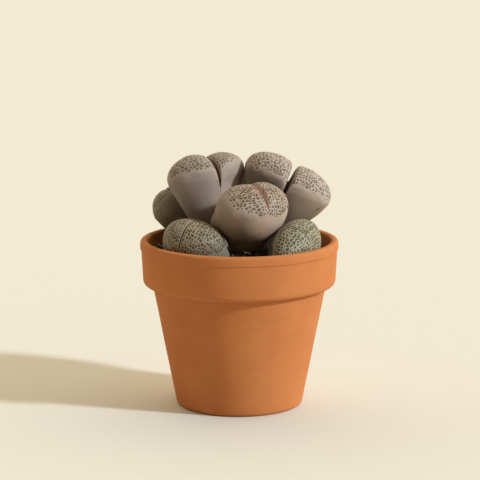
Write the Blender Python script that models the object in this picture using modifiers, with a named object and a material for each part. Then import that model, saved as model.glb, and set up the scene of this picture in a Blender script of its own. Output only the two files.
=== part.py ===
# A clump of small stemless succulents in a turned terracotta pot. Metres, +Z up.
# The pot and the soil are turned profiles. Each head is one fused pair of fat leaves: a sphere
# whose poles are the two ends of the slit, moved into shape by the rule in head_point().

import math

import bpy
from mathutils import Matrix, Vector, noise

MM = 0.001
OBJECT = "potted_split_rock"

# Pot, in millimetres.
POT_HEIGHT = 91.2
LIP_RADIUS = 54.0
LIP_RING_BOTTOM = 86.0
LIP_OUTER_ROUND = 1.9
LIP_INNER_ROUND = 1.6
LIP_THICKNESS = 4.4
BAND_TOP_RADIUS = 53.4
BAND_BOTTOM_RADIUS = 52.4
BAND_BOTTOM = 66.4
BAND_ROUND = 3.0
BODY_TOP_RADIUS = 47.0
BASE_RADIUS = 34.8
BASE_ROUND = 2.6
FLOOR = 7.0
INNER_FLOOR_RADIUS = 29.0
INNER_BODY_RADIUS = 42.2
INNER_BODY_TOP = 62.0
INNER_BAND_RADIUS = 47.4
INNER_BAND_BOTTOM = 69.0
DRAIN_RADIUS = 5.75
POT_STEPS = 60

# Soil, in millimetres.
SOIL_TOP = 84.0
SOIL_CROWN = 0.8
MOUND_PLACE = (4, -18)
MOUND_HEIGHT = 3.0
MOUND_SPREAD = 11.0
SOIL_RELIEF = 0.7
SOIL_GRAIN = 5.5
SOIL_RINGS = 8
SOIL_STEPS = 44
GAP = 0.3
SOCKET = 0.5
GREEN_HEADS = ("head_low_right", "head_rear_right")
SOCKET_NECK = 0.9

# Heads. The slit runs along a head's own Y axis, with the lobes on either side along X.
HEAD_SIDES = 28
HEAD_RINGS = 23
SLIT_SHARE = 2 / 14

# at: the middle of the widest level. half: half widths across and along the slit. up, down: the
# heights above and below that level. lean: how far the axis tips towards +X and +Y, in degrees.
# turn: the slit's turn about the axis. domed, tapered: how square the top is and how round the
# underside is. ends: how far round the slit runs in front and behind, from the top, in degrees.
# gap: its width in front and behind. depth: how deep it is. lip: the rounding of its edges.
# dip: how far the top falls towards the slit, and over what width. split: how far the slit lies
# from the middle. swells: directions in the world in which the side stands out further, by how
# much and how widely. neck: the length of the short stem.
HEADS = {
    "head_back_left": dict(
        at=(-17.9, 11.6, 123.8), half=(22.4, 14.6), up=11.8, down=45.5, lean=(-9, 2), turn=24,
        domed=2.5, tapered=1.18, ends=(108, 96), gap=(1.8, 2.0), depth=17, lip=1.6, split=2.0,
        swells=[((-0.35, -0.2, 0.9), 1.6, 0.16), ((-0.8, -0.1, 0.6), 1.1, 0.1), ((0.9, -0.35, -0.25), -2.8, 0.13)], neck=0, dip=(2.2, 10),
    ),
    "head_back_right": dict(
        at=(26.2, 11.8, 119.8), half=(24.8, 16.0), up=12.8, down=44.0, lean=(25.5, -2), turn=-2,
        domed=2.35, tapered=1.18, ends=(108, 100), gap=(2.2, 2.9), depth=19, lip=2.4, split=-0.2,
        swells=[((-0.8, 0.0, 0.6), 0.8, 0.16), ((-0.88, -0.1, -0.45), 2.2, 0.1), ((0.75, -0.1, -0.6), 0.8, 0.1)], neck=0, dip=(1.8, 12),
    ),
    "head_front": dict(
        at=(6.4, -18.9, 110.6), half=(19.8, 15.4), up=13.4, down=20.5, lean=(10, -24), turn=27,
        domed=2.45, tapered=1.95, ends=(54, 84), gap=(0.5, 3.8), depth=9, lip=1.0, split=2.4,
        swells=[((-0.88, 0.33, -0.38), 5.4, 0.045), ((-0.9, 0.0, -0.4), 1.0, 0.16), ((0.9, -0.1, 0.35), 0.9, 0.14)], neck=12,
    ),
    "head_low_left": dict(
        at=(-24.7, -23.6, 92.8), half=(16.7, 13.9), up=12.6, down=18.5, lean=(9, -4), turn=-24,
        domed=2.4, tapered=1.7, ends=(114, 84), gap=(0.7, 0.7), depth=4, lip=0.5, split=-1.8,
        swells=[((0.7, -0.5, 0.3), 0.8, 0.16), ((0.85, 0.1, -0.5), 7.0, 0.07)], neck=0,
    ),
    "head_low_right": dict(
        at=(29.2, -21.4, 88.4), half=(19.4, 12.2), up=16.2, down=15.0, lean=(2, -28), turn=59,
        domed=2.2, tapered=1.8, ends=(56, 84), gap=(0.5, 0.5), depth=4, lip=0.4, split=0.0,
        swells=[((0.7, 0.0, 0.6), 0.5, 0.16), ((-0.8, 0.1, -0.5), 3.0, 0.06)], neck=0,
    ),
    "head_left": dict(
        at=(-35.0, 26.8, 103.5), half=(13.4, 11.4), up=12.2, down=29.5, lean=(-25, 0), turn=32,
        domed=2.2, tapered=1.12, ends=(90, 90), gap=(1.0, 2.4), depth=8, lip=1.2, split=0.0,
        swells=[((-0.6, 0.6, 0.5), 0.4, 0.16)], neck=0,
    ),
    "head_rear": dict(
        at=(-3.0, 36.0, 95.0), half=(14.0, 10.4), up=12.0, down=21.0, lean=(3, 22), turn=68,
        domed=2.2, tapered=1.6, ends=(86, 86), gap=(1.0, 2.0), depth=8, lip=1.2, split=0.0,
        swells=[((0.6, 0.6, 0.5), 0.6, 0.16)], neck=0,
    ),
    "head_rear_right": dict(
        at=(19.6, 31.6, 89.8), half=(11.8, 11.0), up=11.0, down=15.0, lean=(12, 14), turn=17,
        domed=2.2, tapered=1.7, ends=(80, 80), gap=(0.6, 0.8), depth=5, lip=0.9, split=0.0,
        swells=[((0.6, 0.6, 0.5), 0.4, 0.16)], neck=0,
    ),
}

# Colours as seen, with roughness.
TERRACOTTA = ((0.48, 0.17, 0.06, 1), 0.85)
SOIL_MIX = ((0.03, 0.018, 0.01, 1), 0.95)
SKIN = ((0.36, 0.31, 0.25, 1), 0.6)
SKIN_GREEN = ((0.30, 0.29, 0.19, 1), 0.6)


def clear_scene():
    for obj in list(bpy.data.objects):
        bpy.data.objects.remove(obj, do_unlink=True)


def new_collection(name):
    made = bpy.data.collections.new(name)
    bpy.context.scene.collection.children.link(made)
    return made


def move_to(obj, collection):
    for held in list(obj.users_collection):
        held.objects.unlink(obj)
    collection.objects.link(obj)


def finish(name, look):
    colour, roughness = look
    made = bpy.data.materials.new(name)
    made.use_nodes = True
    shader = made.node_tree.nodes["Principled BSDF"]
    shader.inputs["Base Color"].default_value = colour
    shader.inputs["Roughness"].default_value = roughness
    made.diffuse_color = colour
    return made


def arc(centre, radius, start, end, steps):
    # Points round a corner, by angle in degrees from +X towards +Z.
    points = []
    for i in range(steps + 1):
        a = math.radians(start + (end - start) * i / steps)
        points.append((centre[0] + radius * math.cos(a), centre[1] + radius * math.sin(a)))
    return points


def turned(name, points, steps, closed):
    # A profile in the XZ plane swept round Z by a Screw modifier.
    mesh = bpy.data.meshes.new(name)
    edges = [(i, i + 1) for i in range(len(points) - 1)]
    if closed:
        edges.append((len(points) - 1, 0))
    mesh.from_pydata([(r * MM, 0, z * MM) for r, z in points], edges, [])
    obj = bpy.data.objects.new(name, mesh)
    bpy.context.scene.collection.objects.link(obj)
    screw = obj.modifiers.new("Turn", "SCREW")
    screw.steps = steps
    screw.render_steps = steps
    screw.use_merge_vertices = True
    screw.merge_threshold = 0.00001
    screw.use_smooth_shade = True
    return obj


def inner_radius(z):
    # The radius of the pot's inner wall at a height.
    if z < INNER_BODY_TOP:
        share = (z - FLOOR) / (INNER_BODY_TOP - FLOOR)
        return INNER_FLOOR_RADIUS + (INNER_BODY_RADIUS - INNER_FLOOR_RADIUS) * share
    if z < INNER_BAND_BOTTOM:
        share = (z - INNER_BODY_TOP) / (INNER_BAND_BOTTOM - INNER_BODY_TOP)
        return INNER_BODY_RADIUS + (INNER_BAND_RADIUS - INNER_BODY_RADIUS) * share
    share = (z - INNER_BAND_BOTTOM) / (POT_HEIGHT - INNER_BAND_BOTTOM)
    return INNER_BAND_RADIUS + (LIP_RADIUS - LIP_THICKNESS - INNER_BAND_RADIUS) * share


def pot():
    lip_inner = LIP_RADIUS - LIP_THICKNESS
    points = arc(
        (LIP_RADIUS - LIP_OUTER_ROUND, POT_HEIGHT - LIP_OUTER_ROUND), LIP_OUTER_ROUND, 90, 0, 4
    )
    points += arc((LIP_RADIUS - 0.6, LIP_RING_BOTTOM + 0.6), 0.6, 0, -90, 2)
    points += [(BAND_TOP_RADIUS, LIP_RING_BOTTOM - 0.5)]
    points += arc(
        (BAND_BOTTOM_RADIUS - BAND_ROUND, BAND_BOTTOM + BAND_ROUND), BAND_ROUND, 0, -90, 4
    )
    points += [(BODY_TOP_RADIUS + 0.8, BAND_BOTTOM), (BODY_TOP_RADIUS, BAND_BOTTOM - 1.2)]
    points += arc((BASE_RADIUS - BASE_ROUND, BASE_ROUND), BASE_ROUND, -8, -90, 4)
    points += [(DRAIN_RADIUS + 0.6, 0), (DRAIN_RADIUS, 0.6), (DRAIN_RADIUS, FLOOR - 0.8)]
    points += [(DRAIN_RADIUS + 0.8, FLOOR), (INNER_FLOOR_RADIUS - 3, FLOOR)]
    points += [(inner_radius(FLOOR + 3), FLOOR + 3), (INNER_BODY_RADIUS, INNER_BODY_TOP)]
    points += [(INNER_BAND_RADIUS, INNER_BAND_BOTTOM)]
    points += [(inner_radius(SOIL_TOP), SOIL_TOP)]
    points += arc(
        (lip_inner + LIP_INNER_ROUND, POT_HEIGHT - LIP_INNER_ROUND), LIP_INNER_ROUND, 180, 90, 4
    )
    obj = turned("pot", points, POT_STEPS, True)
    obj.data.materials.append(finish("terracotta", TERRACOTTA))
    return obj


def soil_height(x, y):
    # The soil's top: slightly crowned, with an uneven gritty surface that fades at the wall.
    r = math.hypot(x, y)
    fade = min(1.0, max(0.0, (inner_radius(SOIL_TOP) - r) / 3))
    rough = noise.noise(Vector((x / SOIL_GRAIN, y / SOIL_GRAIN, 3.7)))
    fine = noise.noise(Vector((x / 2.4, y / 2.4, 9.1)))
    crown = SOIL_CROWN * (1 - (r / inner_radius(SOIL_TOP)) ** 2)
    from_mound = math.dist((x, y), MOUND_PLACE)
    mound = MOUND_HEIGHT * math.exp(-((from_mound / MOUND_SPREAD) ** 2))
    return SOIL_TOP + crown + mound + fade * SOIL_RELIEF * (rough + 0.5 * fine)


def soil():
    edge = inner_radius(SOIL_TOP) - GAP
    points = [(edge * i / SOIL_RINGS, SOIL_TOP) for i in range(SOIL_RINGS + 1)]
    points += [(INNER_BAND_RADIUS - GAP, INNER_BAND_BOTTOM), (INNER_BODY_RADIUS - GAP, INNER_BODY_TOP)]
    points += [(inner_radius(FLOOR + 3) - GAP, FLOOR + 3.2), (INNER_FLOOR_RADIUS - 3.4, FLOOR + GAP)]
    points += [(0, FLOOR + GAP)]
    obj = turned("soil", points, SOIL_STEPS, False)
    solid = applied(obj)
    for vertex in solid.vertices:
        if vertex.co.z > (SOIL_TOP - 0.1) * MM:
            vertex.co.z = soil_height(vertex.co.x / MM, vertex.co.y / MM) * MM
    obj.modifiers.clear()
    obj.data = solid
    obj.data.materials.append(finish("soil_mix", SOIL_MIX))
    return obj


def applied(obj):
    graph = bpy.context.evaluated_depsgraph_get()
    graph.update()
    return bpy.data.meshes.new_from_object(obj.evaluated_get(graph))


def smooth(t):
    t = min(1.0, max(0.0, t))
    return t * t * (3 - 2 * t)


def body_point(spec, d):
    # Where a direction on the unit sphere lies on the uncut body, in the head's own frame.
    across, along = spec["half"]
    out = math.hypot(d[0], d[1])
    above = d[2] >= 0
    power = 2 / (spec["domed"] if above else spec["tapered"])
    radius = out**power / max(out, 1e-9)
    height = (spec["up"] if above else -spec["down"]) * abs(d[2]) ** power
    if not above:
        height -= spec["neck"] * smooth((0.75 - out) / 0.5)
    return Vector((across * radius * d[0], along * radius * d[1], height))


def slit_ring(spec, along):
    # The two ends of one ring's axis: its point on the slit line and the one right opposite.
    end = spec["ends"][0 if along < 0 else 1]
    top = math.radians(along * end)
    foot = math.radians(math.copysign(180 - abs(along) * (180 - end), along if along else 1))
    return (math.sin(top), math.cos(top)), (math.sin(foot), math.cos(foot))


def head_point(spec, along, round_it):
    # along: -1 to 1 from the slit's front end to its back end. round_it: the angle about the
    # slit, from 0 at its line to pi at the foot, with the sign of the lobe.
    top, foot = slit_ring(spec, along)
    mid = ((top[0] + foot[0]) / 2, (top[1] + foot[1]) / 2)
    arm = ((top[0] - foot[0]) / 2, (top[1] - foot[1]) / 2)
    reach = math.hypot(arm[0], arm[1])
    share = abs(round_it) / math.pi
    side = 1 if round_it >= 0 else -1
    in_slit = share < SLIT_SHARE
    turn = 0 if in_slit else (share - SLIT_SHARE) / (1 - SLIT_SHARE) * math.pi
    point = body_point(
        spec,
        (
            side * reach * math.sin(turn),
            mid[0] + arm[0] * math.cos(turn),
            mid[1] + arm[1] * math.cos(turn),
        ),
    )
    if reach < 0.001:
        return point
    start = body_point(spec, (0, top[0], top[1]))
    inward = body_point(spec, (0, foot[0], foot[1])) - start
    room = inward.length
    inward.normalize()
    fade = (1 - abs(along) ** 5) ** 0.5
    depth = min(spec["depth"] * fade, room * 0.7)
    lip = min(spec["lip"], depth * 0.5, room * 0.2)
    front, back = spec["gap"]
    gap = (front + (back - front) * (along + 1) / 2) * fade
    gap = min(gap, room * 0.3)
    dip, dip_width = spec.get("dip", (0, 1))
    dip = min(dip * fade, room * 0.2)
    if in_slit:
        u = share / SLIT_SHARE
        sunk = lip + dip + (depth - lip) * (1 - u)
        return start + inward * sunk + Vector((side * gap / 2 * u**0.6, 0, 0))
    level = (point - start).dot(inward)
    spread = smooth(1 - level / (depth * 1.3)) * gap / 2
    from_lip = abs(point.x)
    sunk = dip * max(0.0, 1 - from_lip / dip_width) ** 2
    if from_lip < lip:
        sunk += lip - math.sqrt(lip**2 - (lip - from_lip) ** 2)
    point += inward * sunk * smooth(0.5 + math.cos(turn))
    point.x = side * (spread + from_lip * (1 - spread / spec["half"][0]))
    return point


def off_middle(spec, point):
    # Carries the slit to one side, with the two lobes' outer sides left where they are.
    share = max(0.0, 1 - abs(point.x) / spec["half"][0])
    return Vector((point.x + spec["split"] * share, point.y, point.z))


def head_frame(spec):
    # The head's own axes in the world: a turn about its axis, then the lean.
    lean = Vector(spec["lean"])
    tip = Matrix.Rotation(math.radians(lean.length), 3, Vector((-lean.y, lean.x, 0)))
    return tip @ Matrix.Rotation(math.radians(spec["turn"]), 3, "Z")


def head(name, spec, grow=0.0):
    bpy.ops.mesh.primitive_uv_sphere_add(segments=HEAD_SIDES, ring_count=HEAD_RINGS, radius=1)
    obj = bpy.context.object
    obj.name = name
    frame = head_frame(spec)
    # The sphere's poles become the ends of the slit, and its +X side the line of the slit.
    for vertex in obj.data.vertices:
        along = math.asin(max(-1.0, min(1.0, vertex.co.z))) / (math.pi / 2)
        round_it = math.atan2(vertex.co.y, vertex.co.x)
        point = off_middle(spec, head_point(spec, along, round_it))
        point = frame @ point
        out = point.normalized()
        for towards, amount, width in spec["swells"]:
            near = out.dot(Vector(towards).normalized())
            point += out * amount * math.exp((near - 1) / width)
        vertex.co = (point + Vector(spec["at"])) * MM
    obj.data.update()
    if grow:
        normals = [v.normal.copy() for v in obj.data.vertices]
        for vertex, normal in zip(obj.data.vertices, normals):
            vertex.co += normal * grow * MM
    obj.data.shade_smooth()
    return obj


def heads(parts, cutters):
    skin = finish("skin", SKIN)
    green = finish("skin_green", SKIN_GREEN)
    made = []
    for name, spec in HEADS.items():
        obj = head(name, spec)
        obj.data.materials.append(green if name in GREEN_HEADS else skin)
        move_to(obj, parts)
        clear = SOCKET_NECK if spec["neck"] else SOCKET
        cutter = head(name + "_socket", dict(spec, gap=(2.4, 2.4)), clear)
        cutter.hide_render = True
        cutter.display_type = "WIRE"
        move_to(cutter, cutters)
        made.append(cutter)
    return made


def main():
    clear_scene()
    parts = new_collection(OBJECT)
    cutters = new_collection("cutters")
    cutters.hide_render = True
    move_to(pot(), parts)
    ground = soil()
    move_to(ground, parts)
    for cutter in heads(parts, cutters):
        socket = ground.modifiers.new(cutter.name, "BOOLEAN")
        socket.operation = "DIFFERENCE"
        socket.object = cutter


main()
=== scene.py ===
import math

import bpy
import numpy as np
from mathutils import Matrix, Vector, noise
from mathutils.bvhtree import BVHTree


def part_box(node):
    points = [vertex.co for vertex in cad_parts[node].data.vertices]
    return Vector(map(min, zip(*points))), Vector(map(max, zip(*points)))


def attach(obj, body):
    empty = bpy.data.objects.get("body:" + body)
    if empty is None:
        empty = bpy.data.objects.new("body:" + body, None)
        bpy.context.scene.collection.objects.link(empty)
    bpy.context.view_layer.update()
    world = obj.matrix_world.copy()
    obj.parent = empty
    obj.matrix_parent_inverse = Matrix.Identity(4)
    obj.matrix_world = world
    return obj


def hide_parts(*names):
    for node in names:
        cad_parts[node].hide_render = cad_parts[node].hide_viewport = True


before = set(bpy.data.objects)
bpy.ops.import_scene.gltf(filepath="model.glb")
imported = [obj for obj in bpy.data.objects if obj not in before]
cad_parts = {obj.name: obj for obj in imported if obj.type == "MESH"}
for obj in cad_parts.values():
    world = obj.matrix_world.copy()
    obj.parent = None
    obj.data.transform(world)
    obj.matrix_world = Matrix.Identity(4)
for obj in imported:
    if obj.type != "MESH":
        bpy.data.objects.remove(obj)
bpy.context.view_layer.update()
bpy.ops.object.select_all(action="DESELECT")

# Sizes are in mm and angles in degrees, unless a comment says otherwise.
MM = 0.001

# The pot: a plain flower pot of red clay, turned on a wheel, wiped smooth and fired without a glaze.
# A thick band stiffens it under a slightly proud lip, and the base has one drain hole.
POT_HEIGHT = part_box("pot")[1].z / MM
LIP_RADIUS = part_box("pot")[1].x / MM
LIP_RING_BOTTOM = 86.0
LIP_RING_ROUND = 0.6
LIP_RING_END = -80
LIP_OUTER_ROUND = 1.9
LIP_INNER_ROUND = 1.6
LIP_THICKNESS = 4.4
BAND_TOP_RADIUS = 53.4
BAND_BOTTOM_RADIUS = 52.4
BAND_BOTTOM = 66.4
BAND_ROUND = 3.0
BAND_COVE = 1.0
STEP_OUT = 0.05
STEP_TOP = 0.3
STEP_BOTTOM = 0.9
BODY_TOP_RADIUS = 47.0
BASE_RADIUS = 34.8
BASE_ROUND = 2.6
BASE_ROUND_START = -8
FLOOR = 7.0
INNER_FLOOR_RADIUS = 29.0
INNER_FLOOR_ROUND = 3.0
INNER_BODY_RADIUS = 42.2
INNER_BODY_TOP = 62.0
INNER_BAND_RADIUS = 47.4
INNER_BAND_BOTTOM = 69.0
DRAIN_RADIUS = 5.75
DRAIN_ROUND = 0.6
DRAIN_CHAMFER = 0.8
SOIL_TOP = 84.0
POT_STEPS = 192
WALL_STEP = 1.5
ROUND_STEPS = 8
COVE_STEPS = 4
DRAIN_STEPS = 3
MERGE_WITHIN = 0.02


def arc(centre, radius, start, end, steps):
    # Points round a corner, by angle from +X towards +Z.
    angles = [math.radians(start + (end - start) * i / steps) for i in range(steps + 1)]
    return [(centre[0] + radius * math.cos(a), centre[1] + radius * math.sin(a)) for a in angles]


def stepped(points, step):
    # The same outline with a point at least every step.
    made = [points[0]]
    for (r0, z0), (r1, z1) in zip(points, points[1:]):
        count = max(1, math.ceil(math.hypot(r1 - r0, z1 - z0) / step))
        made += [(r0 + (r1 - r0) * i / count, z0 + (z1 - z0) * i / count) for i in range(1, count + 1)]
    return made


def turned(name, points, steps):
    # One point is drawn out along the outline, and the outline is spun once round Z.
    bpy.ops.mesh.primitive_plane_add(size=MM)
    made = bpy.context.object
    made.name = name
    bpy.ops.object.mode_set(mode="EDIT")
    bpy.ops.mesh.merge(type="CENTER")
    bpy.ops.transform.translate(value=(points[0][0] * MM, 0, points[0][1] * MM))
    for (r0, z0), (r1, z1) in zip(points, points[1:]):
        bpy.ops.mesh.extrude_region_move(
            TRANSFORM_OT_translate={"value": ((r1 - r0) * MM, 0, (z1 - z0) * MM)}
        )
    bpy.ops.mesh.select_all(action="SELECT")
    bpy.ops.mesh.spin(steps=steps, angle=math.tau, center=(0, 0, 0), axis=(0, 0, 1))
    bpy.ops.mesh.select_all(action="SELECT")
    bpy.ops.mesh.remove_doubles(threshold=MERGE_WITHIN * MM)
    bpy.ops.mesh.normals_make_consistent(inside=False)
    bpy.ops.object.mode_set(mode="OBJECT")
    bpy.ops.object.shade_smooth()
    return made


def inner_radius(z):
    # The radius of the pot's inner wall at a height.
    if z < INNER_BODY_TOP:
        share = (z - FLOOR) / (INNER_BODY_TOP - FLOOR)
        return INNER_FLOOR_RADIUS + (INNER_BODY_RADIUS - INNER_FLOOR_RADIUS) * share
    if z < INNER_BAND_BOTTOM:
        share = (z - INNER_BODY_TOP) / (INNER_BAND_BOTTOM - INNER_BODY_TOP)
        return INNER_BODY_RADIUS + (INNER_BAND_RADIUS - INNER_BODY_RADIUS) * share
    share = (z - INNER_BAND_BOTTOM) / (POT_HEIGHT - INNER_BAND_BOTTOM)
    return INNER_BAND_RADIUS + (LIP_RADIUS - LIP_THICKNESS - INNER_BAND_RADIUS) * share


# The outline runs from the lip down the outside, through the drain hole and up the inside.
centre = (LIP_RADIUS - LIP_OUTER_ROUND, POT_HEIGHT - LIP_OUTER_ROUND)
outline = arc(centre, LIP_OUTER_ROUND, 90, 0, ROUND_STEPS)
centre = (LIP_RADIUS - LIP_RING_ROUND, LIP_RING_BOTTOM + LIP_RING_ROUND)
outline += arc(centre, LIP_RING_ROUND, 0, LIP_RING_END, COVE_STEPS)
outline += [(BAND_TOP_RADIUS + STEP_OUT, LIP_RING_BOTTOM - STEP_TOP)]
outline += [(BAND_TOP_RADIUS, LIP_RING_BOTTOM - STEP_BOTTOM)]
centre = (BAND_BOTTOM_RADIUS - BAND_ROUND, BAND_BOTTOM + BAND_ROUND)
outline += arc(centre, BAND_ROUND, 0, -90, ROUND_STEPS)
centre = (BODY_TOP_RADIUS + BAND_COVE, BAND_BOTTOM - BAND_COVE)
outline += arc(centre, BAND_COVE, 90, 180, COVE_STEPS)
centre = (BASE_RADIUS - BASE_ROUND, BASE_ROUND)
outline += arc(centre, BASE_ROUND, BASE_ROUND_START, -90, ROUND_STEPS)
centre = (DRAIN_RADIUS + DRAIN_ROUND, DRAIN_ROUND)
outline += arc(centre, DRAIN_ROUND, 270, 180, DRAIN_STEPS)
outline += [(DRAIN_RADIUS, FLOOR - DRAIN_CHAMFER), (DRAIN_RADIUS + DRAIN_CHAMFER, FLOOR)]
outline += [(INNER_FLOOR_RADIUS - INNER_FLOOR_ROUND, FLOOR)]
outline += [(inner_radius(FLOOR + INNER_FLOOR_ROUND), FLOOR + INNER_FLOOR_ROUND)]
outline += [(INNER_BODY_RADIUS, INNER_BODY_TOP), (INNER_BAND_RADIUS, INNER_BAND_BOTTOM)]
centre = (LIP_RADIUS - LIP_THICKNESS + LIP_INNER_ROUND, POT_HEIGHT - LIP_INNER_ROUND)
outline += arc(centre, LIP_INNER_ROUND, 180, 90, ROUND_STEPS)
outline += [outline[0]]
pot = turned("flower_pot", stepped(outline, WALL_STEP), POT_STEPS)

# A hand-turned wall wanders in and out a little, between the base and the lip.
WANDER_LENGTH = 24
WANDER_DEPTH = 0.18
WANDER_SEED = 3.0
WANDER_OUTSIDE = 20
WANDER_ABOVE = 1
WANDER_BELOW_LIP = 0.5
for vertex in pot.data.vertices:
    wander = noise.noise(vertex.co / (WANDER_LENGTH * MM) + Vector((WANDER_SEED, 0, 0)))
    outward = Vector((vertex.co.x, vertex.co.y, 0))
    on_side = WANDER_ABOVE * MM < vertex.co.z < (POT_HEIGHT - WANDER_BELOW_LIP) * MM
    if on_side and outward.length > WANDER_OUTSIDE * MM:
        vertex.co += outward.normalized() * wander * WANDER_DEPTH * MM


def linear(code):
    # The linear colour of an sRGB hex code.
    parts = [int(code[i : i + 2], 16) / 255 for i in (0, 2, 4)]
    return [c / 12.92 if c < 0.04045 else ((c + 0.055) / 1.055) ** 2.4 for c in parts] + [1]


def add(tree, kind, inputs=None, **settings):
    # One node with its settings. An input is a value, or another node's output to link.
    made = tree.nodes.new("ShaderNode" + kind)
    for key, value in settings.items():
        setattr(made, key, value)
    for key, value in (inputs or {}).items():
        if isinstance(value, bpy.types.NodeSocket):
            tree.links.new(value, made.inputs[key])
        else:
            made.inputs[key].default_value = value
    return made


def new_material(name):
    # An empty material and its node tree.
    made = bpy.data.materials.new(name)
    made.use_nodes = True
    made.node_tree.nodes.clear()
    return made, made.node_tree


def in_millimetres(tree):
    # The place on the piece in mm, so that the patterns are given by their real size.
    place = add(tree, "TexCoord").outputs["Object"]
    return add(tree, "Mapping", {"Vector": place, "Scale": (1000, 1000, 1000)}).outputs[0]


def cloudy(tree, at, size, detail, roughness=0.5):
    # Soft noise with features of this size.
    inputs = {"Vector": at, "Scale": 1 / size, "Detail": detail, "Roughness": roughness}
    return add(tree, "TexNoise", inputs).outputs["Fac"]


def spots(tree, at, spacing, edge, core, strength):
    # Round spots at this spacing, from nothing at the edge to their full strength at the core.
    inputs = {"Vector": at, "Scale": 1 / spacing, "Randomness": 1}
    distance = add(tree, "TexVoronoi", inputs, feature="F1").outputs["Distance"]
    return ranged(tree, distance, edge, core, 0, strength)


def ranged(tree, value, start, end, low=0.0, high=1.0, kind="LINEAR"):
    # A value from start to end becomes one from low to high, and goes no further at either end.
    inputs = {"Value": value, 1: start, 2: end, 3: low, 4: high}
    return add(tree, "MapRange", inputs, interpolation_type=kind).outputs[0]


def calculated(tree, operation, first, second):
    # A sum, a product or the like of two values.
    return add(tree, "Math", {0: first, 1: second}, operation=operation).outputs[0]


def mixed(tree, share, under, over, blend="MIX"):
    # One colour over another. Each is a hex code or another node's output.
    under, over = (linear(c) if isinstance(c, str) else c for c in (under, over))
    inputs = {"Fac": share, "Color1": under, "Color2": over}
    return add(tree, "MixRGB", inputs, blend_type=blend).outputs[0]


def ramp(tree, value, first, last, *between):
    # Colours by value. Each stop is a position and a hex code.
    made = add(tree, "ValToRGB", {"Fac": value})
    elements = made.color_ramp.elements
    for element, (position, code) in zip(elements, (first, last)):
        element.position = position
        element.color = linear(code)
    for position, code in between:
        elements.new(position).color = linear(code)
    return made.outputs["Color"]


def bumped(tree, height, distance, strength):
    # Fine relief. A height of 1 stands for this distance.
    inputs = {"Height": height, "Distance": distance * MM, "Strength": strength}
    return add(tree, "Bump", inputs).outputs[0]


def shaded(tree, **inputs):
    # The surface, with the sockets of the shader that differ from their defaults.
    named = {key.replace("_", " "): value for key, value in inputs.items()}
    shader = add(tree, "BsdfPrincipled", named)
    add(tree, "OutputMaterial", {"Surface": shader.outputs[0]})


def clothe(piece, material):
    # Gives a piece this one material.
    piece.data.materials.clear()
    piece.data.materials.append(material)


clay, tree = new_material("terracotta_fired")
# Fired red clay: dull and porous, with paler and redder patches, fine dark grit, faint salt bloom
# and the thin rings that the wheel leaves.
PATCH_SIZE = 26
FLECK_SIZE = 0.9
RING_PITCH = 1.6
RING_STRETCH = 0.012
SPECK_SPACING = 3.4
CLAY_GRAIN = 0.5
GRAIN_HEIGHT = 0.035
RING_HEIGHT = 0.09
PIT_HEIGHT = -0.1
in_mm = in_millimetres(tree)
patches = cloudy(tree, in_mm, PATCH_SIZE, 3, 0.55)
tones = ramp(tree, patches, (0.34, "B76D3C"), (0.68, "BE7542"), (0.5, "BB713F"))
pink = ranged(tree, cloudy(tree, in_mm, FLECK_SIZE, 2), 0.5, 0.75, 0, 0.22)
warmed = mixed(tree, pink, tones, "C4835B")
ring_scale = (RING_STRETCH, RING_STRETCH, 1 / RING_PITCH)
stretched = add(tree, "Mapping", {"Vector": in_mm, "Scale": ring_scale}).outputs[0]
rings = cloudy(tree, stretched, 1, 2, 0.6)
wiped = mixed(tree, 1, warmed, mixed(tree, rings, "F7F7F7", "FFFFFF"), "MULTIPLY")
speck = spots(tree, in_mm, SPECK_SPACING, 0.1, 0.05, 0.4)
speckled = mixed(tree, speck, wiped, "8A4A2A")
grain_height = calculated(tree, "MULTIPLY", cloudy(tree, in_mm, CLAY_GRAIN, 3, 0.65), GRAIN_HEIGHT)
ring_height = calculated(tree, "MULTIPLY", rings, RING_HEIGHT)
pit_height = calculated(tree, "MULTIPLY", speck, PIT_HEIGHT)
height = calculated(tree, "ADD", calculated(tree, "ADD", grain_height, ring_height), pit_height)
relief = bumped(tree, height, 1, 0.8)
shaded(tree, Base_Color=speckled, Roughness=0.82, Specular_IOR_Level=0.15, Normal=relief)
clothe(pot, clay)
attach(pot, "root")
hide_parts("pot")

# The soil: a dark potting mix of peat and fine grit, filled in to a little below the lip and pressed
# down by watering. Its surface is lumpy, and it stops just short of the clay.
SOIL_CROWN = 0.8
MOUND_PLACE = (4, -18)
MOUND_HEIGHT = 3.0
MOUND_SPREAD = 11.0
SOIL_RELIEF = 0.7
SOIL_GRAIN = 5.5
SOIL_FINE_GRAIN = 2.4
SOIL_FINE_SHARE = 0.5
SOIL_FADE = 3
SOIL_SEED = 3.7
SOIL_FINE_SEED = 9.1
CRUMB_SIZE = 2.1
CRUMB_HEIGHT = 0.9
SMALL_CRUMB_SIZE = 1.0
SMALL_CRUMB_HEIGHT = 0.35
SMALL_CRUMB_SEED = 5
CRUMB_MEAN = 0.5
SOIL_FOOT_RISE = 3.2
SOIL_FOOT_INSET = 3.4
SOIL_RINGS = 84
SOIL_STEPS = 240
SOIL_GAP = 0.3
SURFACE_WITHIN = 0.1


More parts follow.
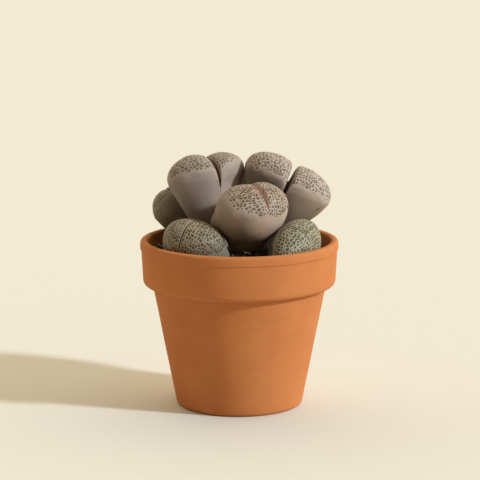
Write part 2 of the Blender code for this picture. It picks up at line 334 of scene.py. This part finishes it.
def soil_height(x, y):
    # The level of the soil: slightly crowned, with a mound between the front heads and broad lumps
    # that fade at the wall.
    r = math.hypot(x, y)
    fade = min(1.0, max(0.0, (inner_radius(SOIL_TOP) - r) / SOIL_FADE))
    broad = noise.noise(Vector((x / SOIL_GRAIN, y / SOIL_GRAIN, SOIL_SEED)))
    fine = noise.noise(Vector((x / SOIL_FINE_GRAIN, y / SOIL_FINE_GRAIN, SOIL_FINE_SEED)))
    crown = SOIL_CROWN * (1 - (r / inner_radius(SOIL_TOP)) ** 2)
    from_mound = math.dist((x, y), MOUND_PLACE)
    mound = MOUND_HEIGHT * math.exp(-((from_mound / MOUND_SPREAD) ** 2))
    return SOIL_TOP + crown + mound + fade * SOIL_RELIEF * (broad + SOIL_FINE_SHARE * fine)


def crumb(x, y, size, seed):
    # Rounded crumbs of one size, packed side by side, from their mean level.
    return CRUMB_MEAN - noise.voronoi(Vector((x / size, y / size, seed)))[0][0]


edge = inner_radius(SOIL_TOP) - SOIL_GAP
outline = [(edge * i / SOIL_RINGS, SOIL_TOP) for i in range(SOIL_RINGS + 1)]
outline += [(INNER_BAND_RADIUS - SOIL_GAP, INNER_BAND_BOTTOM)]
outline += [(INNER_BODY_RADIUS - SOIL_GAP, INNER_BODY_TOP)]
outline += [(inner_radius(FLOOR + INNER_FLOOR_ROUND) - SOIL_GAP, FLOOR + SOIL_FOOT_RISE)]
outline += [(INNER_FLOOR_RADIUS - SOIL_FOOT_INSET, FLOOR + SOIL_GAP), (0, FLOOR + SOIL_GAP)]
soil = turned("potting_mix", outline, SOIL_STEPS)
for vertex in soil.data.vertices:
    if vertex.co.z > (SOIL_TOP - SURFACE_WITHIN) * MM:
        x, y = vertex.co.x / MM, vertex.co.y / MM
        large = CRUMB_HEIGHT * crumb(x, y, CRUMB_SIZE, 0)
        small = SMALL_CRUMB_HEIGHT * crumb(x, y, SMALL_CRUMB_SIZE, SMALL_CRUMB_SEED)
        vertex.co.z = (soil_height(x, y) + (large + small)) * MM

mix, tree = new_material("potting_mix_moist")
# Moist peat and grit: nearly black, with brown crumbs and a few mineral grains that catch the light.
CLOD_SIZE = 3.0
SAND_SPACING = 0.9
PEAT_GRAIN = 0.45
PEAT_BUMP = 0.4
in_mm = in_millimetres(tree)
clods = cloudy(tree, in_mm, CLOD_SIZE, 4, 0.7)
tones = ramp(tree, clods, (0.35, "100B07"), (0.75, "2E2218"))
sanded = mixed(tree, spots(tree, in_mm, SAND_SPACING, 0.22, 0.12, 0.6), tones, "6A553F")
relief = bumped(tree, cloudy(tree, in_mm, PEAT_GRAIN, 3, 0.7), PEAT_BUMP, 1)
shaded(tree, Base_Color=sanded, Roughness=0.9, Specular_IOR_Level=0.1, Normal=relief)
clothe(soil, mix)
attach(soil, "root")
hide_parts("soil")

# The heads: each one is a fused pair of fat leaves, grown with a slit across its top. The skin is
# waxy and matt, smooth on the sides, and its pale top is pitted with dark windows like dots.

# SLIT_SHARE is the part of the mesh that lies in the slit, and LIP_CROWDING crowds the rest of it
# towards the slit's edge. SMALL and TINY keep lengths from being zero where they divide.
SLIT_SHARE = 0.14
LIP_CROWDING = 1.3
ARC_STEPS = 28
LUMP_SIZE = 6.5
LUMP_DEPTH = 0.16
BALLS = {}
TINY = 1e-9
SMALL = 1e-6

# The neck is drawn down where the sphere's own radius falls from NECK_EDGE by NECK_FADE.
NECK_EDGE = 0.75
NECK_FADE = 0.5

# The slit fades out towards its ends. Its depth, lip, gap and dip are at most these shares of the
# room between its line and the foot, and the lip is at most a share of the depth.
END_POWER = 5
MOST_DEPTH = 0.7
MOST_LIP = 0.2
MOST_GAP = 0.3
MOST_DIP = 0.2
LIP_OF_DEPTH = 0.5
WALL_POWER = 0.6
SPREAD_REACH = 1.3
CLOSED_REACH = 0.001

# Short creases in the skin, and one blemish each on two heads with its size. Places are in mm over
# the skin, across and along the slit from the middle of the top. A crease ends inside the slit.
CREASE_WIDTH = 0.42
CREASE_DEPTH = 0.4
CREASE_INSIDE = 0.5
CREASES = {
    "head_front": [
        [(-12.2, -2.3), (-10.1, -1.0), (-8.4, 0.3), (-7.5, -1.4), (-5.0, 0.3), (-2.6, 1.7)],
        [(-0.5, -3.2), (0.8, -1.7), (4.1, -2.1), (7.7, -4.0)],
    ],
    "head_low_right": [[(1.0, -5.6), (5.5, -6.3), (12.3, -6.0)]],
}
BLEMISHES = {"head_front": ((-5.6, -29.2), 0.7), "head_back_right": ((31.5, -11.9), 1.6)}
NO_BLEMISH = ((1000, 1000), 1)

# Painted light: the flanks are paler towards this side, to the right, to the front and low,
# where the key light and the light from the floor fall on them.
PAINTED_LIGHT_SIDE = Vector((0.75, -0.45, -0.45)).normalized()

# at: the middle of the widest level. half: half widths across and along the slit. up, down: the
# heights above and below that level. lean: how far the axis tips towards +X and +Y, in degrees.
# turn: the slit's turn about the axis. domed, tapered: how square the top is and how round the
# underside is. ends: how far round the slit runs in front and behind, from the top, in degrees.
# gap: its width in front and behind. depth: how deep it is. lip: the rounding of its edges.
# dip: how far the top falls towards the slit, and over what width. split: how far the slit lies
# from the middle. swells: directions in the world in which the side stands out further, by how
# much and how widely. neck: the length of the short stem. cap: the plane that bounds the dots, as
# a direction in the head's own frame and a level. rings: the mesh's sides and rings. look: the
# skin, by its name in SKIN_COLOURS.
HEADS = {
    "head_back_left": dict(
        at=(-17.9, 11.6, 123.8), half=(22.4, 14.6), up=11.8, down=45.5, lean=(-9, 2), turn=24,
        domed=2.5, tapered=1.18, ends=(108, 96), gap=(1.8, 2.0), depth=17, lip=1.6, split=2.0,
        swells=[
            ((-0.35, -0.2, 0.9), 1.6, 0.16),
            ((-0.8, -0.1, 0.6), 1.1, 0.1),
            ((0.9, -0.35, -0.25), -2.8, 0.13),
        ],
        cap=(-0.05, 0.2, 1.0, 2.9), rings=(208, 144), look="mauve", dip=(2.2, 10),
    ),
    "head_back_right": dict(
        at=(26.2, 11.8, 119.8), half=(24.8, 16.0), up=12.8, down=44.0, lean=(25.5, -2), turn=-2,
        domed=2.35, tapered=1.18, ends=(108, 100), gap=(2.2, 2.9), depth=19, lip=2.4, split=-0.2,
        swells=[
            ((-0.8, 0.0, 0.6), 0.8, 0.16),
            ((-0.86, -0.12, -0.5), 2.2, 0.1),
            ((-0.92, -0.3, -0.15), 1.7, 0.05),
            ((0.75, -0.1, -0.6), 0.8, 0.1),
        ],
        # Its skin is the mauve one with painted shade on the flanks.
        cap=(0.0, 0.3, 1.0, -1.0), rings=(208, 144), look="mauve_shaded", dip=(1.8, 12),
    ),
    "head_front": dict(
        at=(6.4, -18.9, 110.6), half=(19.8, 15.4), up=13.4, down=20.5, lean=(10, -24), turn=27,
        domed=2.45, tapered=1.95, ends=(54, 84), gap=(0.5, 3.8), depth=9, lip=1.0, split=2.4,
        swells=[
            ((-0.88, 0.33, -0.38), 5.4, 0.045),
            ((-0.9, 0.0, -0.4), 1.0, 0.16),
            ((0.9, -0.1, 0.35), 0.9, 0.14),
            ((-0.2, 0.45, 0.87), -1.8, 0.1),
        ],
        neck=12, cap=(0.15, -0.04, 1.0, 5.3), rings=(240, 168), look="pink",
    ),
    "head_low_left": dict(
        at=(-24.7, -23.6, 92.8), half=(16.7, 13.9), up=12.6, down=18.5, lean=(9, -4), turn=-24,
        domed=2.4, tapered=1.7, ends=(114, 84), gap=(0.7, 0.7), depth=4, lip=0.5, split=-1.8,
        swells=[((0.7, -0.5, 0.3), 0.8, 0.16), ((0.85, 0.1, -0.5), 7.0, 0.07)],
        cap=(-0.35, -0.25, 1.0, -5.6), rings=(208, 144), look="grey",
    ),
    "head_low_right": dict(
        at=(29.2, -21.4, 88.4), half=(19.4, 12.2), up=16.2, down=15.0, lean=(2, -28), turn=59,
        domed=2.2, tapered=1.8, ends=(56, 84), gap=(0.5, 0.5), depth=4, lip=0.4, split=0.0,
        swells=[((0.7, 0.0, 0.6), 0.5, 0.16), ((-0.8, 0.1, -0.5), 3.0, 0.06)],
        cap=(0.1, -0.8, 0.5, -0.4), rings=(208, 144), look="green",
    ),
    "head_left": dict(
        at=(-35.0, 26.8, 103.5), half=(13.4, 11.4), up=12.2, down=29.5, lean=(-25, 0), turn=32,
        domed=2.2, tapered=1.12, ends=(90, 90), gap=(1.0, 2.4), depth=8, lip=1.2, split=0.0,
        swells=[((-0.6, 0.6, 0.5), 0.4, 0.16)],
        cap=(-0.17, 0.32, 1.0, 7.4), rings=(160, 112), look="olive",
    ),
    "head_rear": dict(
        at=(-3.0, 36.0, 95.0), half=(14.0, 10.4), up=12.0, down=21.0, lean=(3, 22), turn=68,
        domed=2.2, tapered=1.6, ends=(86, 86), gap=(1.0, 2.0), depth=8, lip=1.2, split=0.0,
        swells=[((0.6, 0.6, 0.5), 0.6, 0.16)],
        cap=(0.0, 0.0, 1.0, 1.0), rings=(160, 112), look="grey",
    ),
    "head_rear_right": dict(
        at=(19.6, 31.6, 89.8), half=(11.8, 11.0), up=11.0, down=15.0, lean=(12, 14), turn=17,
        domed=2.2, tapered=1.7, ends=(80, 80), gap=(0.6, 0.8), depth=5, lip=0.9, split=0.0,
        swells=[((0.6, 0.6, 0.5), 0.4, 0.16)],
        cap=(0.0, 0.0, 1.0, 0.0), rings=(160, 112), look="green",
    ),
}


def smooth(t):
    # An even rise from 0 to 1 that starts and ends gently.
    t = np.clip(t, 0, 1)
    return t * t * (3 - 2 * t)


def length(points):
    # The length of each row.
    return np.sqrt((points * points).sum(-1))


def body_points(spec, d):
    # Where directions on the unit sphere lie on the uncut body, in the head's own frame.
    across, along = spec["half"]
    out = np.hypot(d[:, 0], d[:, 1])
    above = d[:, 2] >= 0
    power = 2 / np.where(above, spec["domed"], spec["tapered"])
    spread = out**power / np.maximum(out, TINY)
    level = np.where(above, spec["up"], -spec["down"]) * np.abs(d[:, 2]) ** power
    level -= np.where(above, 0, spec.get("neck", 0) * smooth((NECK_EDGE - out) / NECK_FADE))
    return np.stack([across * spread * d[:, 0], along * spread * d[:, 1], level], 1)


def skin_map(spec, d):
    # The distance over the skin from the middle of the top, in the direction of each point.
    tip = np.arccos(np.clip(d[:, 2], -1, 1))
    out = np.maximum(np.hypot(d[:, 0], d[:, 1]), TINY)
    heading = np.stack([d[:, 0] / out, d[:, 1] / out], 1)
    travelled = np.zeros(len(d))
    last = body_points(spec, np.tile([0.0, 0.0, 1.0], (len(d), 1)))
    for i in range(1, ARC_STEPS + 1):
        part = tip * i / ARC_STEPS
        at = body_points(spec, np.column_stack([heading * np.sin(part)[:, None], np.cos(part)]))
        travelled += length(at - last)
        last = at
    way = heading * np.array(spec["half"])
    return way / np.maximum(length(way), TINY)[:, None] * travelled[:, None]


def head_points(spec, along, round_it):
    # along: -1 to 1 from the slit's front end to its back end. round_it: the angle about the
    # slit, from 0 at its line to pi at the foot, with the sign of the lobe. Gives the points,
    # the distance of each from the slit's edge, negative inside, its place on the skin and
    # its height over the border of the dots.
    end = np.where(along < 0, *spec["ends"])
    top = np.radians(along * end)
    foot = np.radians(np.copysign(180 - np.abs(along) * (180 - end), along))
    top = np.stack([np.zeros_like(top), np.sin(top), np.cos(top)], 1)
    foot = np.stack([np.zeros_like(foot), np.sin(foot), np.cos(foot)], 1)
    middle, arm = (top + foot) / 2, (top - foot) / 2
    reach = length(arm)
    share = np.abs(round_it) / math.pi
    side = np.where(round_it >= 0, 1, -1)
    in_slit = share < SLIT_SHARE
    turn = np.clip((share - SLIT_SHARE) / (1 - SLIT_SHARE), 0, 1) ** LIP_CROWDING * math.pi
    direction = middle + arm * np.cos(turn)[:, None]
    direction[:, 0] = side * reach * np.sin(turn)
    points = body_points(spec, direction)
    start = body_points(spec, top)
    inward = body_points(spec, foot) - start
    room = length(inward)
    inward /= np.maximum(room, SMALL)[:, None]
    fade = np.sqrt(np.clip(1 - np.abs(along) ** END_POWER, 0, 1))
    depth = np.minimum(spec["depth"] * fade, room * MOST_DEPTH)
    lip = np.minimum(np.minimum(spec["lip"], depth * LIP_OF_DEPTH), room * MOST_LIP)
    front, back = spec["gap"]
    gap = np.minimum((front + (back - front) * (along + 1) / 2) * fade, room * MOST_GAP)
    dip, dip_width = spec.get("dip", (0, 1))
    dip = np.minimum(dip * fade, room * MOST_DIP)
    above = smooth(0.5 + np.cos(turn))
    skin = skin_map(spec, direction)
    over = points @ np.array(spec["cap"][:3]) - spec["cap"][3]
    from_edge = length(points - start)
    u = share / SLIT_SHARE
    brim = lip + dip
    sunk = brim + (depth - lip) * (1 - u)
    wall = start + inward * sunk[:, None]
    wall[:, 0] += side * gap / 2 * np.clip(u, 0, 1) ** WALL_POWER
    down = ((points - start) * inward).sum(1)
    spread = smooth(1 - down / np.maximum(depth * SPREAD_REACH, SMALL)) * gap / 2
    from_lip = np.abs(points[:, 0])
    rounded = lip - np.sqrt(np.maximum(lip**2 - (lip - from_lip) ** 2, 0))
    sunk_by = np.where(from_lip < lip, rounded, 0)
    sunk_by += dip * np.clip(1 - from_lip / dip_width, 0, 1) ** 2
    points += inward * (sunk_by * above)[:, None]
    points[:, 0] = side * (spread + from_lip * (1 - spread / spec["half"][0]))
    closed = reach < CLOSED_REACH
    points = np.where((in_slit & ~closed)[:, None], wall, points)
    from_edge = np.where(in_slit, -sunk, from_edge)
    return points, from_edge, skin, over


def head_frame(spec):
    # The head's own axes in the world: a turn about its axis, then the lean.
    lean = Vector(spec["lean"])
    tip = Matrix.Rotation(math.radians(lean.length), 3, Vector((-lean.y, lean.x, 0)))
    return np.array(tip @ Matrix.Rotation(math.radians(spec["turn"]), 3, "Z"))


def keep_value(mesh, name, values):
    # A number at each point of the mesh, which its material reads by this name.
    mesh.attributes.new(name, "FLOAT", "POINT").data.foreach_set("value", values.astype(np.float32))


def ball(around, rings):
    # A sphere of unit radius, modelled once for every head with the same mesh.
    if (around, rings) not in BALLS:
        bpy.ops.mesh.primitive_uv_sphere_add(
            segments=around, ring_count=rings, radius=1, calc_uvs=False
        )
        bpy.ops.object.shade_smooth()
        BALLS[around, rings] = bpy.context.object
    return BALLS[around, rings]


def line_depth(skin, line):
    # How deep a crease is at each place on the skin, from 0 to 1, by its distance from the line.
    nearest = np.full(len(skin), np.inf)
    for start, end in zip(line, line[1:]):
        start, run = np.array(start), np.subtract(end, start)
        share = np.clip((skin - start) @ run / (run @ run), 0, 1)
        nearest = np.minimum(nearest, length(skin - start - share[:, None] * run))
    return np.exp(-((nearest / CREASE_WIDTH) ** 2))


def head(name, spec):
    # A sphere whose poles become the ends of the slit, with its +X side on the slit's line.
    base = ball(*spec["rings"])
    made = base.copy()
    made.data = base.data.copy()
    bpy.context.collection.objects.link(made)
    made.name = name.replace("head", "leaf_pair")
    mesh = made.data
    places = np.zeros(len(mesh.vertices) * 3)
    mesh.vertices.foreach_get("co", places)
    places = places.reshape(-1, 3)
    along = np.arcsin(np.clip(places[:, 2], -1, 1)) / (math.pi / 2)
    round_it = np.arctan2(places[:, 1], places[:, 0])
    points, from_edge, skin, over = head_points(spec, along, round_it)
    crease = np.zeros(len(points))
    for line in CREASES.get(name, []):
        crease = np.maximum(crease, line_depth(skin, line))
    crease *= from_edge > -CREASE_INSIDE
    points[:, 0] += spec["split"] * np.maximum(0, 1 - np.abs(points[:, 0]) / spec["half"][0])
    points = points @ head_frame(spec).T
    out = points / np.maximum(length(points), TINY)[:, None]
    for towards, amount, width in spec["swells"]:
        near = out @ (np.array(towards) / np.linalg.norm(towards))
        points += out * (amount * np.exp((near - 1) / width))[:, None]
    lumps = np.array([noise.noise(Vector(p / LUMP_SIZE)) for p in points])
    points += out * (LUMP_DEPTH * lumps * (from_edge > 0) - CREASE_DEPTH * crease)[:, None]
    points = (points + np.array(spec["at"])) * MM
    mesh.vertices.foreach_set("co", points.ravel())
    keep_value(mesh, "from_edge", from_edge)
    keep_value(mesh, "over_border", over)
    # Painted light: how far each point faces the side on which the skin paints the flank paler.
    keep_value(mesh, "painted_light_facing", out @ np.array(PAINTED_LIGHT_SIDE))
    keep_value(mesh, "crease", crease)
    place, size = BLEMISHES.get(name, NO_BLEMISH)
    keep_value(mesh, "blemish", np.exp(-((length(skin - np.array(place)) / size) ** 2)))
    on_skin = mesh.attributes.new("skin_mm", "FLOAT_VECTOR", "POINT")
    flat = np.column_stack([skin, np.zeros(len(skin))])
    on_skin.data.foreach_set("vector", flat.astype(np.float32).ravel())
    mesh.update()
    return made


# The sizes of the patterns in the skin.
DOT_SPACING = 1.95
DOT_RANDOMNESS = 0.9
PUSH_SIZE = 1.1
PUSH_BY = 1.3
RAGGED_SIZE = 5.0
RAGGED_BY = 1.2
DOT_SIZE_VARIES_OVER = 3.0
CLOUD_SIZE = 9.0
BLOOM_SIZE = 0.35
BLOOM_HEIGHT = 0.015
RIDGE_HEIGHT = -0.25
# The foot darkens between these heights, partly in the skin's own colour and partly as painted shade.
FOOT_SHADE_TOP = 112
FOOT_SHADE_BOTTOM = 86
# Blemishes are scars, darker in their own colour; the creases take the same colour as painted shade.
SCAR_AND_CREASE_SHADE_SHARE = 0.75
SCAR_AND_CREASE_SHADE_COLOUR = "4A3426"


def kept(tree, name, output="Fac"):
    # Reads what keep_value left on the mesh.
    return add(tree, "Attribute", attribute_name=name).outputs[output]


def eased(tree, value, start, end, low=0.0, high=1.0):
    # As ranged, but it starts and ends gently.
    return ranged(tree, value, start, end, low, high, "SMOOTHSTEP")


def leaf_skin(name, side, low, top, dot, blush, slit_wall_and_shade, painted_light):
    # Waxy leaf skin: matt, with a thin bloom. side: the flanks. low: their foot, darker partly in its
    # own
    # colour and partly as painted shade. top: the ground between the dots. dot: the windows. blush:
    # the
    # pink along the slit. slit_wall_and_shade: the slit's walls, painted shade on the grey and green
    # skins. painted_light: the flank on its paler side, as painted light.
    made, tree = new_material(name)
    in_mm = in_millimetres(tree)
    from_edge = kept(tree, "from_edge")
    # Dots about 0.9 mm wide and 1.95 mm apart, with outlines pushed about by a finer noise. They
    # shrink towards the border of the field and at the very edge of the slit.
    push = add(tree, "TexNoise", {"Vector": in_mm, "Scale": 1 / PUSH_SIZE, "Detail": 1})
    inputs = {0: push.outputs["Color"], 1: (0.5, 0.5, 0.5)}
    centred = add(tree, "VectorMath", inputs, operation="SUBTRACT").outputs[0]
    inputs = {0: centred, 1: (PUSH_BY, PUSH_BY, 0), 2: kept(tree, "skin_mm", "Vector")}
    pushed = add(tree, "VectorMath", inputs, operation="MULTIPLY_ADD").outputs[0]
    cells = add(
        tree,
        "TexVoronoi",
        {"Vector": pushed, "Scale": 1 / DOT_SPACING, "Randomness": DOT_RANDOMNESS},
        feature="DISTANCE_TO_EDGE",
        voronoi_dimensions="2D",
    ).outputs["Distance"]
    ragged = ranged(tree, cloudy(tree, in_mm, RAGGED_SIZE, 1), 0.3, 0.7, -RAGGED_BY, RAGGED_BY)
    border = calculated(tree, "ADD", kept(tree, "over_border"), ragged)
    on_top = eased(tree, border, -1.2, 2.2)
    in_field = calculated(tree, "MULTIPLY", on_top, eased(tree, from_edge, 0.1, 0.7))
    limit = ranged(tree, cloudy(tree, in_mm, DOT_SIZE_VARIES_OVER, 1), 0.35, 0.65, 0.05, 0.19)
    bound = calculated(tree, "ADD", limit, ranged(tree, in_field, 0, 1, 0.5, 0))
    dots = eased(tree, calculated(tree, "SUBTRACT", cells, bound), -0.03, 0.12)
    # The ground: darker at the foot, partly in its own colour and partly as painted shade near the
    # soil;
    # paler on one side as painted light; paler on the top; and pink in clouds and along the slit.
    foot = add(tree, "SeparateXYZ", {0: in_mm}).outputs["Z"]
    # Darker towards the foot: partly the skin's own colour and partly painted shade near the soil.
    flank = mixed(tree, ranged(tree, foot, FOOT_SHADE_TOP, FOOT_SHADE_BOTTOM), side, low)
    # Painted light: the flank is paler on the side that faces the key light and the floor.
    flank = mixed(tree, eased(tree, kept(tree, "painted_light_facing"), 0.35, 0.95), flank, painted_light)
    ground = mixed(tree, eased(tree, border, -2.8, 1.8), flank, top)
    clouds = ranged(tree, cloudy(tree, in_mm, CLOUD_SIZE, 3), 0.35, 0.7, 0, 0.35)
    near_edge = eased(tree, from_edge, 4.0, 0.2, 0, 0.4)
    blushed = mixed(tree, calculated(tree, "MAXIMUM", clouds, near_edge), ground, blush)
    # The slit's walls: on the grey and green skins their dark colour is painted shade in the narrow
    # slit.
    walled = mixed(tree, eased(tree, from_edge, 0.0, -1.0), blushed, slit_wall_and_shade)
    marked = mixed(tree, dots, walled, dot)
    # Scars darken in their own colour, and the creases darken as painted shade in their grooves.
    scar_and_crease_shade = calculated(tree, "MAXIMUM", kept(tree, "crease"), kept(tree, "blemish"))
    marked = mixed(tree, calculated(tree, "MULTIPLY", scar_and_crease_shade, SCAR_AND_CREASE_SHADE_SHARE), marked, SCAR_AND_CREASE_SHADE_COLOUR)
    # The height falls from the edge of each cell to its middle, so that low ridges run between the
    # dots. The bloom adds a fine grain.
    ridges = calculated(tree, "MULTIPLY", cells, on_top)
    ridge_height = calculated(tree, "MULTIPLY", ridges, RIDGE_HEIGHT)
    bloom_height = calculated(tree, "MULTIPLY", cloudy(tree, in_mm, BLOOM_SIZE, 2), BLOOM_HEIGHT)
    relief = bumped(tree, calculated(tree, "ADD", ridge_height, bloom_height), 1, 0.8)
    shaded(tree, Base_Color=marked, Roughness=0.62, Specular_IOR_Level=0.3, Normal=relief)
    return made


# Each skin's colours: side, low, top, dot, blush, slit_wall_and_shade and painted_light, as leaf_skin
# takes them. Low is partly painted shade, the grey and green slit walls are painted shade, and
# painted_light is painted light.
SKIN_COLOURS = {
    "mauve": ("857870", "6B5E4C", "9B8B7E", "5E503F", "9C7E6F", "7D6253", "A59184"),
    # The back right head's mauve: flanks darker as painted shade from its neighbours, and a paler top.
    "mauve_shaded": ("625952", "54493A", "AC998D", "605241", "9C7E6F", "7D6253", "94816F"),
    "pink": ("877568", "5F5538", "A18E81", "57472F", "A9806E", "C9A898", "B39A8A"),
    "grey": ("736A5D", "433B2A", "8B7F69", "483C29", "8D7A69", "3B2E22", "6F6454"),
    "green": ("6B6653", "29281A", "9A9178", "49412C", "8B7E6D", "332B1F", "7D765F"),
    "olive": ("766652", "5A4E34", "867967", "51452F", "86796A", "6A5A48", "8A7A66"),
}
SKINS = {look: leaf_skin("leaf_skin_" + look, *codes) for look, codes in SKIN_COLOURS.items()}
leaf_pairs = []
for name, spec in HEADS.items():
    pair = head(name, spec)
    clothe(pair, SKINS[spec["look"]])
    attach(pair, "root")
    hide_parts(name)
    leaf_pairs.append(pair)
for spare in BALLS.values():
    bpy.data.objects.remove(spare)

# The grit: crushed stone scattered on the mix, half sunk in it. Most grains are dark, and a few pale
# ones catch the light by the wall and between the front heads.
GRIT_COUNT = 300
GRIT_SEED = 11
GRIT_TRIES = 4000
GRIT_SIZES = (0.5, 1.25)
GRIT_FROM_WALL = 2
GRIT_FROM_HEADS = 0.2
GRIT_SQUASH = (0.65, 1.1)
GRIT_SEAT = 0.1
GRIT_SEAT_SHARE = 0.25
CHIP_DEPTH = 0.45
CHIP_SCALE = 1.3
CHIP_SHIFT = 7.3
DARK_TINTS = 0.85
SHARP_ANGLE = 35
PALE_TINT = 1.0
PALE_GRAINS = [(-44.5, 16.0, 1.3), (-42.5, 12.5, 1.0), (-46.0, 10.5, 1.2), (44.0, 14.5, 1.4)]
PALE_GRAINS += [(3.4, -22.0, 1.0), (5.4, -22.5, 0.8), (4.4, -20.6, 0.7)]
rng = np.random.default_rng(GRIT_SEED)

corners, faces = [], []
for pair in leaf_pairs:
    first = len(corners)
    corners += [v.co.copy() for v in pair.data.vertices]
    faces += [[first + i for i in p.vertices] for p in pair.data.polygons]
clump = BVHTree.FromPolygons(corners, faces)


def grain(index, x, y, size, tint):
    # A chip of stone: a small ball knocked into flats and laid in the mix.
    z = soil_height(x, y) + GRIT_SEAT + GRIT_SEAT_SHARE * size
    bpy.ops.mesh.primitive_ico_sphere_add(subdivisions=2, radius=size * MM)
    made = bpy.context.object
    spin = Matrix.Rotation(rng.uniform(0, math.tau), 3, "Z")
    squash = Vector(rng.uniform(*GRIT_SQUASH, 3))
    for vertex in made.data.vertices:
        at = vertex.co / (size * MM) * CHIP_SCALE + Vector((index * CHIP_SHIFT, 0, 0))
        lump = 1 + CHIP_DEPTH * noise.noise(at)
        vertex.co = spin @ Vector(a * b for a, b in zip(vertex.co, squash)) * lump
        vertex.co += Vector((x, y, z)) * MM
    keep_value(made.data, "tint", np.full(len(made.data.vertices), tint))
    return made


grains = []
for x, y, size in PALE_GRAINS:
    grains.append(grain(len(grains), x, y, size, PALE_TINT))
tries = 0
while len(grains) < GRIT_COUNT and tries < GRIT_TRIES:
    tries += 1
    r = math.sqrt(rng.uniform()) * (inner_radius(SOIL_TOP) - GRIT_FROM_WALL)
    angle = rng.uniform(0, math.tau)
    x, y = r * math.cos(angle), r * math.sin(angle)
    size = rng.uniform(*GRIT_SIZES)
    at = Vector((x, y, soil_height(x, y))) * MM
    nearest, normal, _, distance = clump.find_nearest(at)
    outside = (at - nearest).dot(normal) > 0
    if outside and distance > (size + GRIT_FROM_HEADS) * MM:
        grains.append(grain(len(grains), x, y, size, rng.uniform(0, DARK_TINTS) ** 2))
bpy.ops.object.select_all(action="DESELECT")
for made in grains:
    made.select_set(True)
bpy.context.view_layer.objects.active = grains[0]
bpy.ops.object.join()
grit = bpy.context.object
grit.name = "stone_grit"
bpy.ops.object.shade_smooth_by_angle(angle=math.radians(SHARP_ANGLE))

stone, tree = new_material("crushed_stone")
# Crushed stone: dull broken faces, from dark brown to pale buff.
DUST_SIZE = 0.6
tones = ramp(tree, kept(tree, "tint"), (0.0, "2A1D14"), (1.0, "C9BBA0"), (0.5, "6B5138"))
dusty = mixed(tree, cloudy(tree, in_millimetres(tree), DUST_SIZE, 3), tones, "3A2A1C")
shaded(tree, Base_Color=dusty, Roughness=0.85, Specular_IOR_Level=0.3)
clothe(grit, stone)
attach(grit, "root")

# The studio: one wide sheet of cream paper under the pot, a low key light from the right, and a soft
# warm fill from all round. The camera stands where the photograph was taken. The sheet's size and
# the camera's place are in metres.
PAPER_SIZE = 14.0
bpy.ops.mesh.primitive_plane_add(size=PAPER_SIZE, location=(0, 0, 0))
paper = bpy.context.object
paper.name = "paper"
sheet, tree = new_material("paper_cream")
# Seamless paper: flat cream with no visible grain.
shaded(tree, Base_Color=linear("D5CEC4"), Roughness=0.95, Specular_IOR_Level=0.1)
paper.data.materials.append(sheet)

# The key light's tint is a little over 1 in blue, so it is given as it is and not as a hex code.
KEY_SIDE = 67.0
KEY_HEIGHT = 29.0
KEY_SIZE = 5.5
KEY_POWER = 3.25
KEY_TINT = (0.8, 0.97, 1.1)
bpy.ops.object.light_add(type="SUN")
key = bpy.context.object
key.name = "key_light"
key.data.energy = KEY_POWER
key.data.color = KEY_TINT
key.data.angle = math.radians(KEY_SIZE)
key.rotation_euler = (math.radians(90 - KEY_HEIGHT), 0, math.radians(KEY_SIDE))

# Four wide soft panels stand round the table, each with its direction and strength. The brightest
# is behind it. The camera sees plain paper in their place.
PANELS = [((-0.7, 0.7, 0.4), 1.2), ((1, 0, 0.3), 0.8), ((0.6, 0.8, 0.4), 0.95), ((0, -1, 0.3), 0.22)]
PANEL_TINT = (1.0, 0.9, 0.66, 1)
OVERHEAD = 0.11
PAPER_SEEN = "EFE5CF"
world = bpy.data.worlds.new("studio_fill")
bpy.context.scene.world = world
world.use_nodes = True
tree = world.node_tree
tree.nodes.clear()
facing = add(tree, "TexCoord").outputs["Generated"]
fill = add(tree, "Value").outputs[0]
fill.default_value = OVERHEAD
for direction, strength in PANELS:
    inputs = {0: facing, 1: direction}
    aim = add(tree, "VectorMath", inputs, operation="DOT_PRODUCT").outputs["Value"]
    ahead = calculated(tree, "MAXIMUM", aim, 0.0)
    soft = calculated(tree, "MULTIPLY", ahead, ahead)
    fill = add(tree, "Math", {0: soft, 1: strength, 2: fill}, operation="MULTIPLY_ADD").outputs[0]
lit = add(tree, "Background", {"Color": PANEL_TINT, "Strength": fill})
seen = add(tree, "Background", {"Color": linear(PAPER_SEEN)})
to_camera = add(tree, "LightPath").outputs["Is Camera Ray"]
both = add(tree, "MixShader", {0: to_camera, 1: lit.outputs[0], 2: seen.outputs[0]})
add(tree, "OutputWorld", {"Surface": both.outputs[0]})

CAMERA_DISTANCE = 1.3
CAMERA_PITCH = math.radians(10.72)
CAMERA_TARGET = Vector((0.00035, 0, 0.09051))
CAMERA_LENS = 179.2
CAMERA_SENSOR = 36
CAMERA_SEES = (0.05, 40)
back = Vector((0, -math.cos(CAMERA_PITCH), math.sin(CAMERA_PITCH)))
bpy.ops.object.camera_add(
    location=CAMERA_TARGET + back * CAMERA_DISTANCE,
    rotation=(math.pi / 2 - CAMERA_PITCH, 0, 0),
)
camera = bpy.context.object
camera.data.lens = CAMERA_LENS
camera.data.sensor_width = CAMERA_SENSOR
camera.data.clip_start, camera.data.clip_end = CAMERA_SEES
bpy.context.scene.camera = camera
bpy.context.scene.view_settings.view_transform = "Standard"
